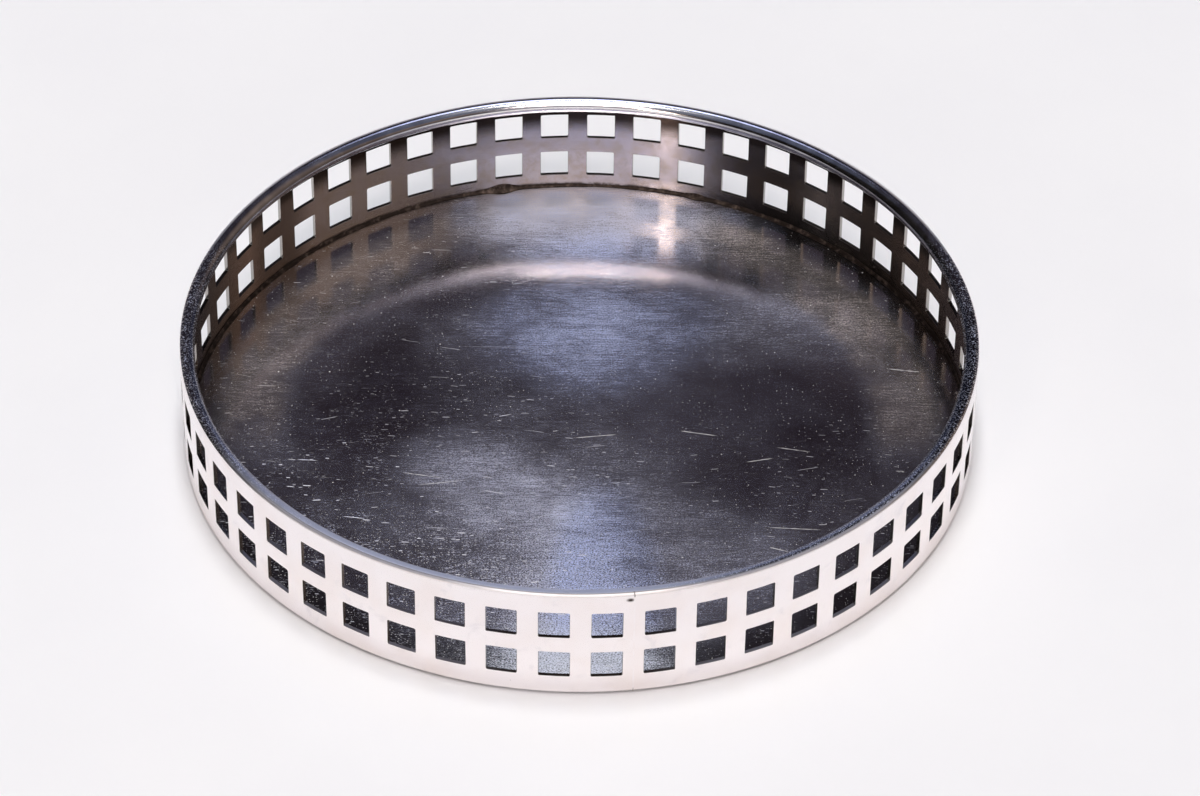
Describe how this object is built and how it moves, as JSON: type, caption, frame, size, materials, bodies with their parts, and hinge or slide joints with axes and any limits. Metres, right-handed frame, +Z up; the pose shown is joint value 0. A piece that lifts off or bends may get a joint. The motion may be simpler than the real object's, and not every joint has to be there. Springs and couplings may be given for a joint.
{
  "type": "wine bottle coaster",
  "caption": "Round silver-plated wine bottle coaster: a flat base plate inside a low gallery wall pierced with square openings, with a half-round wire inside its rim.",
  "frame": {"origin": "middle of the flat underside of the base plate, on the table", "axes": "+Z up along the axis of the ring; -Y is the front, where an upright bar of the gallery is centred; +X is the right"},
  "size_m": [0.128, 0.128, 0.0201],
  "materials": {
    "silver_plate": "polished silver plate over brass",
    "worn_floor_silver": "silver plate over brass, finely scratched by use",
    "solder": "dull tarnished solder"
  },
  "bodies": {
    "root": {"gallery_band": "silver_plate", "rim_wire": "silver_plate", "base_plate": "worn_floor_silver", "base_solder": "solder", "rim_solder": "solder", "band_seam": "solder"}
  },
  "joints": []
}
